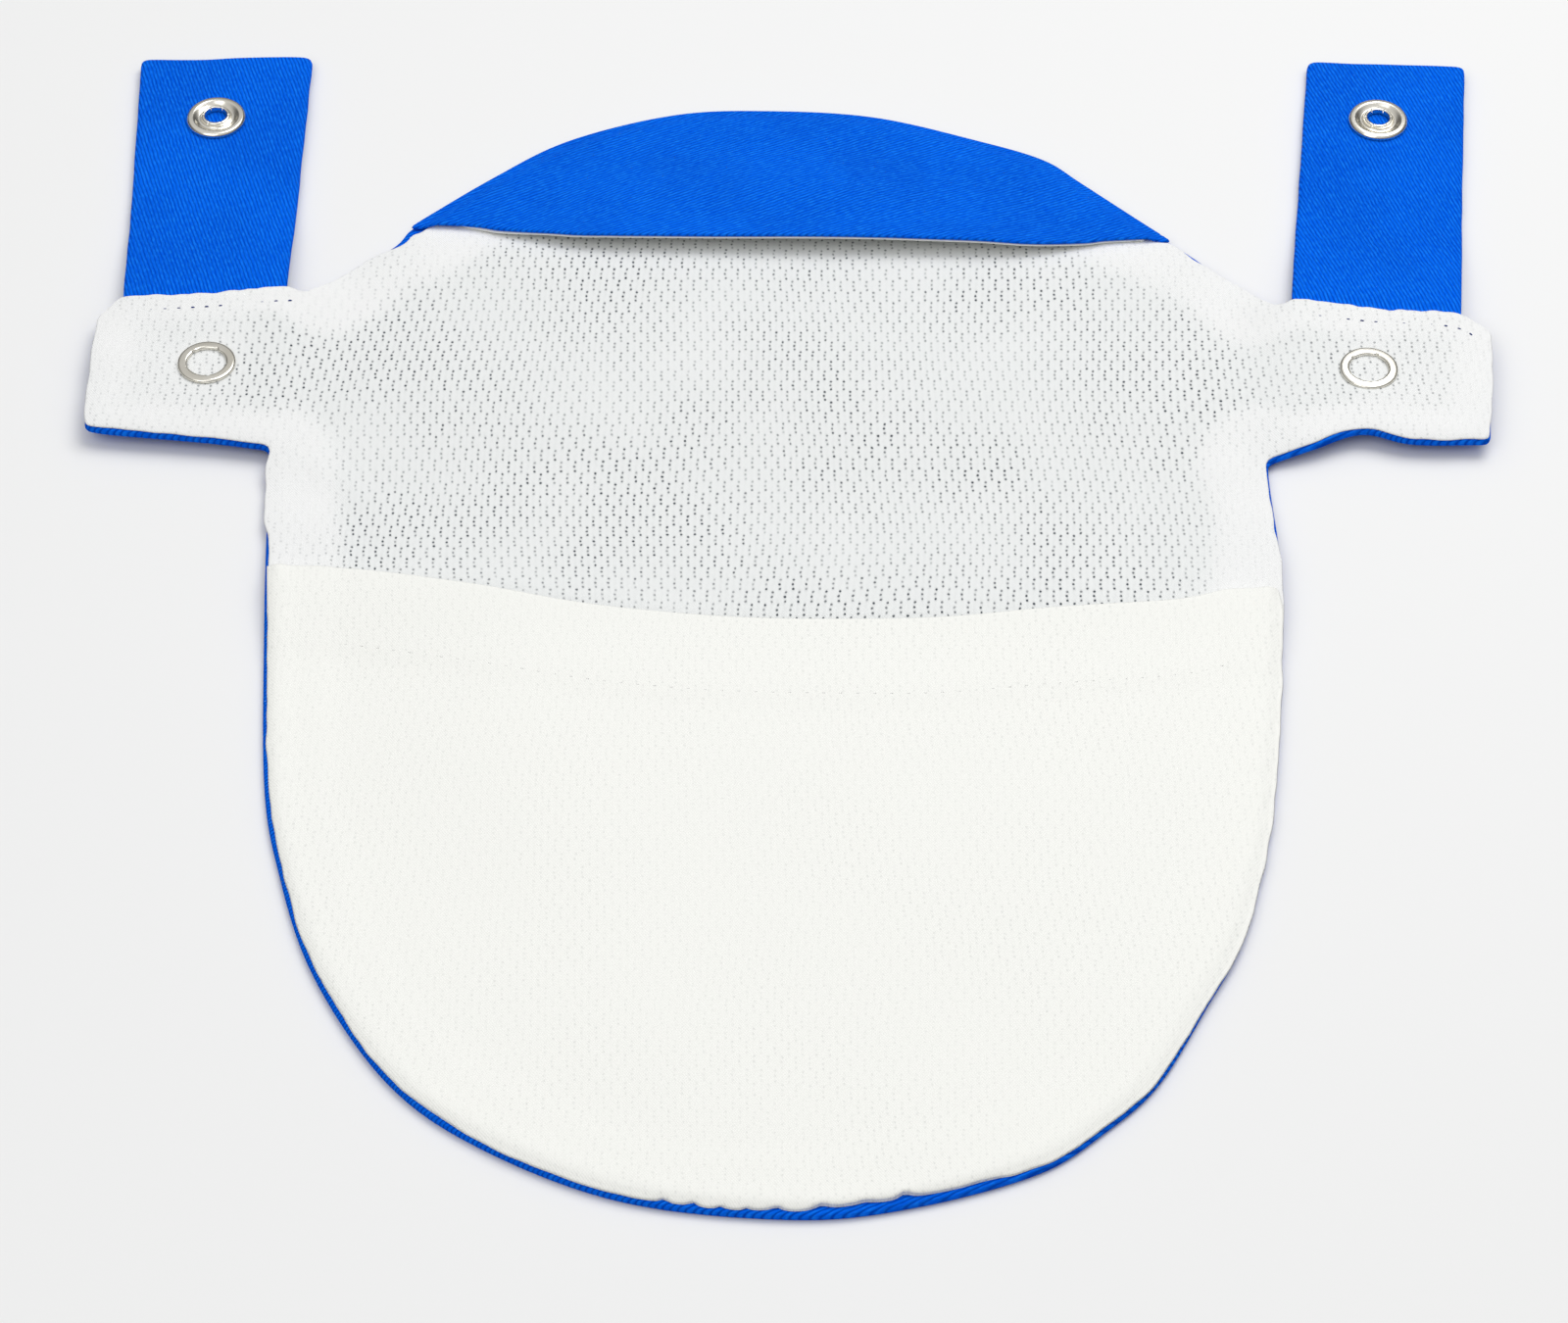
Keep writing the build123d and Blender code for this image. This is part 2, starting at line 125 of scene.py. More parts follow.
# ---------------------------------------------------------------- procedural materials
class Paint:
    """A material whose node tree is written as arithmetic."""

    def __init__(self, name):
        self.material = bpy.data.materials.new(name)
        self.material.use_nodes = True
        self.tree = self.material.node_tree
        self.shader = self.tree.nodes["Principled BSDF"]

    def link(self, value, socket):
        """Feeds a socket from another socket, or sets it to a number."""
        if isinstance(value, bpy.types.NodeSocket):
            self.tree.links.new(value, socket)
        else:
            socket.default_value = value

    def math(self, operation, first, second=0.0, third=None):
        """One arithmetic step."""
        node = self.tree.nodes.new("ShaderNodeMath")
        node.operation = operation
        self.link(first, node.inputs[0])
        self.link(second, node.inputs[1])
        if third is not None:
            self.link(third, node.inputs[2])
        return node.outputs[0]

    def ramp(self, value, low, high, start=0.0, end=1.0):
        """A smooth step from start to end as value goes from low to high."""
        node = self.tree.nodes.new("ShaderNodeMapRange")
        node.interpolation_type = "SMOOTHSTEP"
        self.link(value, node.inputs["Value"])
        self.link(low, node.inputs["From Min"])
        self.link(high, node.inputs["From Max"])
        node.inputs["To Min"].default_value = start
        node.inputs["To Max"].default_value = end
        return node.outputs["Result"]

    def blend(self, share, first, second):
        """A colour between two others."""
        node = self.tree.nodes.new("ShaderNodeMix")
        node.data_type = "RGBA"
        self.link(share, node.inputs["Factor"])
        for value, socket in ((first, node.inputs[6]), (second, node.inputs[7])):
            self.link(value if isinstance(value, bpy.types.NodeSocket) else (*value, 1.0), socket)
        return node.outputs[2]

    def cloth_place(self):
        """The place on the flat cloth, in millimetres: (across, along, the whole vector)."""
        node = self.tree.nodes.new("ShaderNodeUVMap")
        node.uv_map = "cloth"
        split = self.tree.nodes.new("ShaderNodeSeparateXYZ")
        self.tree.links.new(node.outputs["UV"], split.inputs[0])
        return split.outputs["X"], split.outputs["Y"], node.outputs["UV"]

    def vector(self, x, y):
        """A place from two numbers."""
        node = self.tree.nodes.new("ShaderNodeCombineXYZ")
        self.link(x, node.inputs["X"])
        self.link(y, node.inputs["Y"])
        return node.outputs["Vector"]

    def noise(self, place, scale, detail=2.0, roughness=0.5):
        """Soft noise from 0 to 1."""
        node = self.tree.nodes.new("ShaderNodeTexNoise")
        self.link(place, node.inputs["Vector"])
        node.inputs["Scale"].default_value = scale
        node.inputs["Detail"].default_value = detail
        node.inputs["Roughness"].default_value = roughness
        return node.outputs["Fac"]

    def attribute(self, name):
        """A number stored on the mesh's points."""
        node = self.tree.nodes.new("ShaderNodeAttribute")
        node.attribute_name = name
        return node.outputs["Fac"]

    def bump(self, height, depth, strength=1.0):
        """A normal from a height of 0 to 1 that stands for a depth in millimetres."""
        node = self.tree.nodes.new("ShaderNodeBump")
        node.inputs["Strength"].default_value = strength
        node.inputs["Distance"].default_value = depth * MM
        self.link(height, node.inputs["Height"])
        self.tree.links.new(node.outputs["Normal"], self.shader.inputs["Normal"])

    def surface(self, color, roughness, metallic=0.0, sheen=0.0, specular=0.5):
        """Sets the shader's own sockets."""
        if not isinstance(color, bpy.types.NodeSocket):
            color = (*color, 1.0)
        self.link(color, self.shader.inputs["Base Color"])
        self.link(roughness, self.shader.inputs["Roughness"])
        self.shader.inputs["Metallic"].default_value = metallic
        self.shader.inputs["Sheen Weight"].default_value = sheen
        self.shader.inputs["Sheen Roughness"].default_value = 0.4
        self.shader.inputs["Specular IOR Level"].default_value = specular


TWILL_BLUE = (0.0008, 0.124, 0.83)
# Painted shade: the darker blue laid into the twill's grooves between its ribs, and into its painted wrinkle
# shade.
TWILL_GROOVE_SHADE = (0.0004, 0.058, 0.50)
# Painted highlight: the light tone for the glints on the twill's rib crests; the weave's lighter streaks use
# it too.
TWILL_GLINT_AND_STREAK = (0.012, 0.26, 0.97)
LINING_WHITE = (0.87, 0.872, 0.868)
LINING_THIN_WHITE = (0.81, 0.825, 0.82)
# Painted shade: the dark grey drawn in the lining's pinholes, for the shaded gap seen through them.
LINING_HOLE_SHADE = (0.07, 0.085, 0.10)
POCKET_WHITE = (0.885, 0.887, 0.85)
# Painted shade: the grey drawn in the pocket's pinholes, for the shaded lining seen through them.
POCKET_HOLE_SHADE = (0.3, 0.32, 0.32)
WHITE_THREAD = (0.92, 0.92, 0.90)
BLUE_THREAD = (0.01, 0.03, 0.22)
NICKEL_DULL = (0.70, 0.67, 0.59)
NICKEL_BRIGHT = (0.80, 0.775, 0.71)

RIB_ANGLE = 27.0
STRAP_RIB_ANGLE = 107.7
RIB_PITCH = 0.64
RIB_DEPTH = 0.14
GLINT_LENGTH = 1.1
STREAK_LENGTH = 3.2
STREAK_WIDTH = 0.75


def twill(name, rib_angle, groove_share=1.0, streak_share=0.05, depth=1.0):
    """Cotton twill: ribs at rib_angle to the cloth's width, broken along their length into painted highlights
    (glints), with painted shade in the grooves between them. groove_share and streak_share say how clearly
    the ribs and the longer streaks show. depth darkens all."""
    paint = Paint(name)
    tones = (TWILL_BLUE, TWILL_GROOVE_SHADE, TWILL_GLINT_AND_STREAK)
    blue, groove, light = (tuple(c * depth for c in tone) for tone in tones)
    across, along, place = paint.cloth_place()
    turn = math.radians(rib_angle)
    on_rib = paint.math("ADD", paint.math("MULTIPLY", across, math.cos(turn)),
                        paint.math("MULTIPLY", along, math.sin(turn)))
    over_rib = paint.math("ADD", paint.math("MULTIPLY", across, -math.sin(turn)),
                          paint.math("MULTIPLY", along, math.cos(turn)))

    def marks(length, width):
        """Noise drawn out along the ribs, into marks of this length and width."""
        stretched = paint.vector(paint.math("DIVIDE", on_rib, length), paint.math("DIVIDE", over_rib, width))
        return paint.noise(stretched, 1.0, detail=1.0)

    wander = paint.math("MULTIPLY", paint.noise(place, 0.4), 0.6)
    phase = paint.math("ADD", paint.math("DIVIDE", over_rib, RIB_PITCH), wander)
    rib = paint.math("ABSOLUTE", paint.math("SINE", paint.math("MULTIPLY", phase, math.pi)))
    # Painted highlight: glints laid along the ribs as short light marks.
    glint_mask = paint.ramp(marks(GLINT_LENGTH, RIB_PITCH / 2), 0.42, 0.68)
    streak = paint.ramp(marks(STREAK_LENGTH, STREAK_WIDTH), 0.38, 0.66)
    fuzz = paint.noise(place, 2.6, detail=3.0, roughness=0.7)
    # Broad noise that darkens the twill towards the groove tone: partly wear, partly painted shade of
    # wrinkles.
    wear_and_wrinkle_shade = paint.noise(place, 0.06, detail=3.0)
    # Painted shade: the grooves between the ribs take the darker groove tone; groove_share sets how much.
    body = paint.blend(paint.ramp(rib, 0.1, 0.8, 1 - groove_share, 1.0), groove, blue)
    shaded = paint.blend(paint.ramp(wear_and_wrinkle_shade, 0.35, 0.65, 0.0, 0.28), body, groove)
    # Painted highlight: the glints show on the rib crests and fade into the grooves.
    lit = paint.math("MULTIPLY", glint_mask, paint.math("MULTIPLY_ADD", rib, groove_share, 1 - groove_share))
    lighter = paint.math("MULTIPLY_ADD", streak, streak_share, paint.math("MULTIPLY", lit, 0.4))
    color = paint.blend(lighter, shaded, light)
    paint.surface(color, roughness=0.9, specular=0.02)
    paint.bump(paint.math("MULTIPLY_ADD", fuzz, 0.35, rib), RIB_DEPTH)
    return paint.material


COLUMN_PITCH = 1.05
DASH_PERIOD = 4.95
DASH_LENGTH = 2.76
DOT_PITCH = 0.92
DOT_WIDTH = 0.2
DOT_HEIGHT = 0.25
DOT_STAGGER = 0.1
WALE_PITCH = 0.42
COURSE_PITCH = WALE_PITCH * 1.3


def mesh_knit(name, white, thin_white, hole_shade, hole_shade_share, grain_depth):
    """Birdseye mesh: short columns of pinholes, staggered, in a fine knit, drawn dark as painted shade of the
    gap seen through them. hole_shade_share is how dark the pinholes are, times the number that the mesh
    stores for where only one layer lies over the panel. There the cloth's white is thin_white, as the panel
    shows through."""
    paint = Paint(name)
    across, along, place = paint.cloth_place()

    # The columns, which sway a little, and the place along one repeat of a column
    sway = paint.noise(place, 0.02, detail=1.0)
    jitter = paint.math("MULTIPLY", paint.noise(place, 1.1, detail=1.0), 0.3)
    shifted = paint.math("ADD", paint.math("MULTIPLY_ADD", sway, 5.0, across), jitter)
    column = paint.math("DIVIDE", shifted, COLUMN_PITCH)
    number = paint.math("FLOOR", column)
    offset = paint.math("SUBTRACT", paint.math("FRACT", column), 0.5)
    parity = paint.math("FLOORED_MODULO", number, 2.0)
    slid = paint.math("MULTIPLY_ADD", parity, DASH_PERIOD / 2, paint.math("MULTIPLY_ADD", sway, 3.0, along))
    run = paint.math("MULTIPLY", paint.math("FRACT", paint.math("DIVIDE", slid, DASH_PERIOD)), DASH_PERIOD)

    # The pinholes in each dash, set to either side in turn, and the furrow that joins them, all drawn as
    # painted shade
    dots = paint.math("DIVIDE", run, DOT_PITCH)
    dot_place = paint.math("SUBTRACT", paint.math("FRACT", dots), 0.5)
    stagger = paint.math("SUBTRACT", paint.math("FLOORED_MODULO", paint.math("FLOOR", dots), 2.0), 0.5)
    side = paint.math("MULTIPLY_ADD", stagger, DOT_STAGGER, paint.math("MULTIPLY", offset, COLUMN_PITCH))
    dx = paint.math("DIVIDE", side, DOT_WIDTH)
    dy = paint.math("MULTIPLY", dot_place, DOT_PITCH / DOT_HEIGHT)
    reach = paint.math("ADD", paint.math("MULTIPLY", dx, dx), paint.math("MULTIPLY", dy, dy))
    dot = paint.ramp(reach, 0.25, 1.3, 1.0, 0.0)
    in_dash = paint.ramp(run, DASH_LENGTH, DASH_LENGTH + 0.05, 1.0, 0.0)
    furrow = paint.ramp(paint.math("MULTIPLY", dx, dx), 0.2, 2.6, 1.0, 0.0)
    furrow = paint.math("MULTIPLY", furrow, paint.math("MULTIPLY_ADD", in_dash, 0.1, 0.04))
    pin = paint.math("MAXIMUM", paint.math("MULTIPLY", dot, in_dash), furrow)
    uneven = paint.ramp(paint.noise(place, 0.9, detail=3.0), 0.3, 0.7, 0.45, 1.15)
    patches = paint.ramp(paint.noise(place, 0.035, detail=2.0), 0.3, 0.7, 0.5, 1.15)
    pin = paint.math("MULTIPLY", pin, paint.math("MULTIPLY", uneven, patches))
    share = paint.math("MULTIPLY", paint.attribute("single"), hole_shade_share)

    # The knit between the pinholes
    wale = paint.math("SINE", paint.math("MULTIPLY", shifted, 2 * math.pi / WALE_PITCH))
    loop = paint.math("SINE", paint.math("MULTIPLY", along, 2 * math.pi / COURSE_PITCH))
    fuzz = paint.noise(place, 3.2, detail=3.0, roughness=0.7)
    knit = paint.math("MULTIPLY", paint.math("MULTIPLY", wale, loop), 0.4)
    grain = paint.math("ADD", knit, fuzz)
    layers = paint.blend(paint.attribute("single"), white, thin_white)
    # Painted shade: the knit's troughs and the pinholes are darkened towards the hole tone.
    woven = paint.blend(paint.ramp(grain, 0.05, 0.8, 0.09, 0.0), layers, hole_shade)
    color = paint.blend(paint.math("MULTIPLY", pin, share), woven, hole_shade)
    paint.surface(color, roughness=0.9, specular=0.1)
    height = paint.math("SUBTRACT", paint.math("MULTIPLY", grain, 0.4), paint.math("MULTIPLY", pin, share))
    paint.bump(height, grain_depth)
    return paint.material


TWIST_PITCH = 0.3


def thread(name, color):
    """Twisted sewing thread, its twist drawn in lighter and darker bands: painted shade in the twist's
    grooves.
    """
    paint = Paint(name)
    across, along, place = paint.cloth_place()
    diagonal = paint.math("ADD", across, along)
    twist = paint.math("SINE", paint.math("MULTIPLY", diagonal, 2 * math.pi / TWIST_PITCH))
    # Painted shade: the twist's grooves are drawn at 0.6 of the thread's colour.
    twist_shade = tuple(c * 0.6 for c in color)
    paint.surface(paint.blend(paint.ramp(twist, -1, 1), twist_shade, color), roughness=0.75, sheen=0.1, specular=0.3)
    paint.bump(paint.ramp(twist, -1, 1), 0.04)
    return paint.material


def nickel(name):
    """Tumbled nickel plate with faint handling marks."""
    paint = Paint(name)
    place = paint.tree.nodes.new("ShaderNodeTexCoord").outputs["Object"]
    marks = paint.noise(place, 260.0, detail=1.0)
    cloud = paint.noise(place, 160.0, detail=2.0)
    color = paint.blend(paint.ramp(cloud, 0.3, 0.7), NICKEL_DULL, NICKEL_BRIGHT)
    paint.surface(color, roughness=paint.ramp(marks, 0.3, 0.75, 0.2, 0.25), metallic=1.0)
    paint.bump(marks, 0.02, strength=0.1)
    return paint.material


# ---------------------------------------------------------------- outlines
def smooth(low, high, value):
    """A smooth step from 0 to 1."""
    t = np.clip((np.asarray(value, float) - low) / (high - low), 0, 1)
    return t * t * (3 - 2 * t)


def flowing(points, step=1.0):
    """Points about step apart on a smooth curve through the given ones."""
    given = np.array(points, float)
    padded = np.vstack([2 * given[0] - given[1], given, 2 * given[-1] - given[-2]])
    parts = []
    for i in range(1, len(padded) - 2):
        before, start, end, after = padded[i - 1:i + 3]
        count = max(1, round(float(np.linalg.norm(end - start)) / step))
        t = np.linspace(0, 1, count, endpoint=False)[:, None]
        square = 2 * before - 5 * start + 4 * end - after
        cube = 3 * start - before - 3 * end + after
        parts.append(0.5 * (2 * start + (end - before) * t + square * t ** 2 + cube * t ** 3))
    return np.vstack([*parts, given[-1:]])


def closed(*runs, step=1.0, rounding=2):
    """A closed outline of smooth runs that meet at softened corners, evenly spaced."""
    loop = np.vstack([flowing(run, step)[:-1] for run in runs])
    loop = respaced(loop, step)
    for _ in range(rounding):
        loop = (np.roll(loop, 1, axis=0) + 2 * loop + np.roll(loop, -1, axis=0)) / 4
    return loop


def respaced(loop, step):
    """A closed loop with its points set evenly along it."""
    ring = np.vstack([loop, loop[:1]])
    lengths = np.linalg.norm(np.diff(ring, axis=0), axis=1)
    travel = np.concatenate([[0], np.cumsum(lengths)])
    count = round(travel[-1] / step)
    marks = np.linspace(0, travel[-1], count, endpoint=False)
    return np.column_stack([np.interp(marks, travel, ring[:, k]) for k in (0, 1)])


def inward(loop, amount):
    """A counter-clockwise loop moved inward by an amount, or by one amount per point."""
    along = np.roll(loop, -1, axis=0) - np.roll(loop, 1, axis=0)
    along /= np.linalg.norm(along, axis=1)[:, None]
    normal = np.column_stack([-along[:, 1], along[:, 0]])
    return loop + normal * np.reshape(amount, (-1, 1))


def inward_open(run, amount):
    """An open run moved to its left."""
    along = np.gradient(run, axis=0)
    along /= np.linalg.norm(along, axis=1)[:, None]
    return run + np.column_stack([-along[:, 1], along[:, 0]]) * amount


def edge_distance(points, loop):
    """How far each point is from a closed loop."""
    start, end = loop, np.roll(loop, -1, axis=0)
    run = end - start
    square = (run ** 2).sum(axis=1)
    nearest = np.full(len(points), np.inf)
    for first in range(0, len(points), 2000):
        part = points[first:first + 2000, None, :]
        t = np.clip(((part - start) * run).sum(axis=2) / square, 0, 1)
        gap = part - (start + t[..., None] * run)
        nearest[first:first + 2000] = np.sqrt((gap ** 2).sum(axis=2)).min(axis=1)
    return nearest


def inside(points, loop):
    """Which points are inside a closed loop."""
    x, y = points[:, 0][:, None], points[:, 1][:, None]
    x0, y0 = loop[:, 0], loop[:, 1]
    x1, y1 = np.roll(x0, -1), np.roll(y0, -1)
    crosses = (y0 > y) != (y1 > y)
    with np.errstate(divide="ignore", invalid="ignore"):
        at = x0 + (y - y0) * (x1 - x0) / (y1 - y0)
    return (crosses & (x < at)).sum(axis=1) % 2 == 1


HOOD_ARC = [
    (63.2, 77.3), (56.3, 84.1), (47.9, 92.5), (42.0, 98.1), (30.7, 103.1), (13.2, 109.1),
    (-4.6, 110.8), (-21.5, 109.8), (-39.8, 103.1), (-52.6, 93.5), (-66.6, 80.8),
]
BODY_EDGE = [
    (-86.0, 26.9), (-84.9, 5.0), (-81.9, -40.0), (-78.0, -60.5), (-71.4, -80.0), (-59.5, -99.2),
    (-45.1, -110.8), (-25.0, -119.7), (-1.3, -122.6), (15.5, -120.6), (33.3, -114.8), (43.3, -107.4),
    (51.1, -99.3), (58.6, -85.8), (65.3, -71.8), (71.3, -46.8), (75.6, -3.8), (75.4, 24.7),
]
RIGHT_TAB_BOTTOM = [(75.4, 24.7), (82.8, 27.0), (91.0, 30.1), (98.8, 28.1), (111.6, 28.0)]
RIGHT_TAB_END = [(111.6, 28.0), (112.9, 41.0), (113.9, 52.6)]
RIGHT_TAB_TOP = [(113.9, 52.6), (108.3, 56.6), (95.4, 57.9), (79.3, 60.6)]
RIGHT_SLOPE = [(79.3, 60.6), (74.3, 65.4), (68.9, 70.9), (63.2, 77.3)]
LEFT_SLOPE = [(-66.6, 80.8), (-68.0, 77.6), (-70.5, 74.6), (-77.2, 68.4), (-83.1, 63.5)]
LEFT_TAB_TOP = [(-83.1, 63.5), (-96.0, 61.9), (-105.0, 61.1), (-113.0, 60.3)]
LEFT_TAB_END = [(-113.0, 60.3), (-115.8, 58.0), (-116.5, 54.5), (-116.4, 43.0), (-116.2, 30.9)]
LEFT_TAB_BOTTOM = [(-116.2, 30.9), (-111.6, 30.0), (-95.5, 28.3), (-86.0, 26.9)]
PANEL = closed(BODY_EDGE, RIGHT_TAB_BOTTOM, RIGHT_TAB_END, RIGHT_TAB_TOP, RIGHT_SLOPE, HOOD_ARC, LEFT_SLOPE,
               LEFT_TAB_TOP, LEFT_TAB_END, LEFT_TAB_BOTTOM, step=0.75)


# ---------------------------------------------------------------- how the cloth lies
LAYER_GAP = 0.02
LOOSE_GAP = 0.03
PANEL_THICKNESS = 0.7
EDGE_BEAD = 1.5
HIGH_BEAD = 0.9
LINING_THICKNESS = 0.55
ALLOWANCE_THICKNESS = 0.3
FOLD_RISE = 0.6
FOLD_WIDTH = 2.2
TAB_LIFT = 2.4
RIPPLE = 1.3


def rumple(x, y, scale, seed):
    """Gentle seeded unevenness, from about -1 to 1, for waves about scale long."""
    return np.array([
        noise.noise(Vector((a / scale, b / scale, seed))) for a, b in zip(x, y)
    ])


def base_height(x, y):
    """How high the back of the panel stands off the table."""
    rows = smooth(18, 32, y)
    left = smooth(-75, -87, x) * rows
    right = smooth(71, 83, x) * rows
    lift = TAB_LIFT * np.maximum(left, right)
    wave = 0.5 - 0.5 * np.cos((y - 18.5) * 2 * math.pi / 42)
    between = smooth(-30, -4, y) * (1 - smooth(70, 80, y))
    uneven = 1 + 0.5 * rumple(x, y, 38, 3.1)
    return lift + RIPPLE * wave * between * uneven * (1 - np.maximum(left, right)) + LAYER_GAP


def panel_thickness(edge, y):
    """The panel is thicker where its edge is turned in, but less so along the hood and the tabs' tops."""
    bead = EDGE_BEAD + (HIGH_BEAD - EDGE_BEAD) * smooth(50, 57, y)
    return PANEL_THICKNESS + (bead - PANEL_THICKNESS) * (1 - smooth(1.2, 4.5, edge))


def tab_roll(x, y, edge):
    """The lining's turned edge over the straps' seams, with the topstitching's groove below it."""
    in_left = smooth(-82, -86, x) * smooth(-114.5, -111, x)
    in_right = smooth(78, 82, x) * smooth(113, 109, x)
    lumps = 1 + 0.5 * rumple(x, y, 2.6, 3.3)
    roll = 0.55 * lumps * np.exp(-((edge - 0.7) / 0.9) ** 2) - 0.2 * np.exp(-((edge - 2.5) / 0.5) ** 2)
    return roll * np.maximum(in_left, in_right) * smooth(48, 53, y)


# Each fold runs from a tab's inner corner to a place on the mesh
ROOT_FOLDS = [((-83.0, 28.5), (-62.0, 10.0)), ((73.0, 28.0), (58.0, 12.0)), ((-80.0, 31.0), (-64.0, 50.0))]


def root_folds(x, y):
    """The soft folds that run into the mesh from the inner corners of the tabs."""
    height = 0.0
    for start, end in ROOT_FOLDS:
        run = np.subtract(end, start)
        length = np.linalg.norm(run)
        along = ((x - start[0]) * run[0] + (y - start[1]) * run[1]) / length ** 2
        off = ((x - start[0]) * run[1] - (y - start[1]) * run[0]) / length
        ridge = np.exp(-(off / FOLD_WIDTH) ** 2)
        height = height + ridge * smooth(0.05, 0.3, along) * smooth(1.0, 0.5, along)
    return FOLD_RISE * height


def lining_top(x, y, edge):
    """The height of the lining's front face. It lies higher over the seam allowance."""
    rim = 0.45 - 0.3 * smooth(2, -6, y)
    cloth = LINING_THICKNESS * (rim + (1 - rim) * smooth(0, 3.5, edge))
    inner = smooth(8.5, 11.5, edge + 1.5 * rumple(x, y, 14, 1.7))
    allowance = ALLOWANCE_THICKNESS * smooth(0.5, 4, edge) * (1 - inner)
    raised = allowance + tab_roll(x, y, edge) + root_folds(x, y)
    return base_height(x, y) + panel_thickness(edge, y) + cloth + raised


# ---------------------------------------------------------------- mesh building
def new_object(name, points, faces, material, body=None, flat=None, numbers=()):
    """A smooth-shaded mesh from points in millimetres, with its flat cloth places and point numbers."""
    mesh = bpy.data.meshes.new(name)
    mesh.from_pydata((np.asarray(points) * MM).tolist(), [], [tuple(map(int, f)) for f in faces])
    mesh.validate()
    mesh.polygons.foreach_set("use_smooth", np.ones(len(mesh.polygons), bool))
    if flat is not None:
        corner = np.zeros(len(mesh.loops), int)
        mesh.loops.foreach_get("vertex_index", corner)
        layer = mesh.uv_layers.new(name="cloth")
        layer.data.foreach_set("uv", np.asarray(flat, np.float32)[corner].ravel())
    for label, values in numbers:
        mesh.attributes.new(label, "FLOAT", "POINT").data.foreach_set("value", np.asarray(values, np.float32))
    mesh.materials.append(material)
    piece = bpy.data.objects.new(name, mesh)
    bpy.context.scene.collection.objects.link(piece)
    if body:
        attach(piece, body)
    return piece


EDGE_RINGS = (0.12, 0.4, 0.85, 1.6)
RIM_TOLERANCE = 0.03


def hex_grid(loop, pitch):
    """Evenly spread points inside a loop, clear of its edge."""
    low, high = loop.min(axis=0), loop.max(axis=0)
    rows = np.arange(low[1], high[1], pitch * math.sqrt(3) / 2)
    points = []
    for k, y in enumerate(rows):
        xs = np.arange(low[0] + (k % 2) * pitch / 2, high[0], pitch)
        points.append(np.column_stack([xs, np.full(len(xs), y)]))
    points = np.vstack(points)
    points = points[inside(points, loop)]
    return points[edge_distance(points, loop) > EDGE_RINGS[-1] + pitch * 0.45]


def triangulated(loop, pitch):
    """Points and triangles that fill a loop, with fine rings along its edge. The loop comes first."""
    rings = [inward(loop, amount) for amount in EDGE_RINGS]
    places = np.vstack([loop, *rings, hex_grid(loop, pitch)])
    keep = np.ones(len(places), bool)
    first = len(loop)
    keep[first:] = inside(places[first:], loop) & (edge_distance(places[first:], loop) > 0.05)
    places = places[keep]
    edges = [(i, (i + 1) % first) for i in range(first)]
    made = delaunay_2d_cdt([Vector(p) for p in places], edges, [], 1, 1e-4)
    return np.array([tuple(v) for v in made[0]]), np.array([f for f in made[2] if len(f) == 3])


def cloth_sheet(name, loop, low, high, material, pitch=1.9, edge_height=0.5, edge_radius=0.7, numbers=None,
                body=POUCH):
    """A closed sheet between two heights, each a function of x, y and the distance from the sheet's edge.
    Its two faces meet in a rounded edge. numbers gives how far each place is a single layer of mesh."""
    flat, faces = triangulated(loop, pitch)
    edge = edge_distance(flat, loop)
    rim = edge < RIM_TOLERANCE
    x, y = flat[:, 0], flat[:, 1]
    under, over = low(x, y, edge), high(x, y, edge)
    share = np.clip(edge / edge_radius, 0, 1)
    swell = np.sqrt(np.clip(1 - (1 - share) ** 2, 0, 1))
    middle = under + (over - under) * edge_height
    top = middle + (over - middle) * swell
    bottom = middle - (middle - under) * swell
    back = np.full(len(flat), -1)
    back[rim] = np.where(rim)[0]
    back[~rim] = len(flat) + np.arange((~rim).sum())
    points = np.vstack([np.column_stack([x, y, top]), np.column_stack([x, y, bottom])[~rim]])
    corners = flat[faces]
    (ax, ay), (bx, by) = (corners[:, 1] - corners[:, 0]).T, (corners[:, 2] - corners[:, 0]).T
    signed = ax * by - ay * bx
    faces = np.where(signed[:, None] > 0, faces, faces[:, ::-1])
    both = np.vstack([faces, back[faces][:, ::-1]])
    both = both[[len(set(f)) == 3 for f in both.tolist()]]
    laid = np.vstack([flat, flat[~rim]])
    stored = []
    if numbers is not None:
        values = numbers(x, y, edge)
        stored = [("single", np.concatenate([values, values[~rim]]))]
    return new_object(name, points, both, material, body, laid, stored)


def polygon_area(loop):
    """The area inside a loop."""
    x, y = loop[:, 0], loop[:, 1]
    return abs(float((x * np.roll(y, -1) - y * np.roll(x, -1)).sum())) / 2


def declare_sheet(piece, loop, held, rests_on, with_pieces=()):
    polygon_area(loop) * MM * MM
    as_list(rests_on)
    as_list(with_pieces)


# ---------------------------------------------------------------- pieces: panel and lining
def make_panel(material):
    """The twill back with both tabs."""

    def low(x, y, edge):
        return base_height(x, y)

    def high(x, y, edge):
        return base_height(x, y) + panel_thickness(edge, y)

    piece = cloth_sheet("back_panel", PANEL, low, high, material, edge_radius=0.75)
    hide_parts("outer_shell")
    declare_sheet(piece, PANEL, "laid", ["floor"])


# The gathers in the lining's lower edge: where each is, how deep and how wide
BOTTOM_NOTCHES = [
    (-19.7, 0.7, 0.8), (-15.6, 0.55, 0.7), (-11.7, 0.45, 0.7), (-8.0, 0.4, 0.6),
    (-3.8, 0.65, 0.9), (2.7, 0.6, 1.2), (8.9, 0.55, 1.5), (14.6, 0.8, 1.0),
]


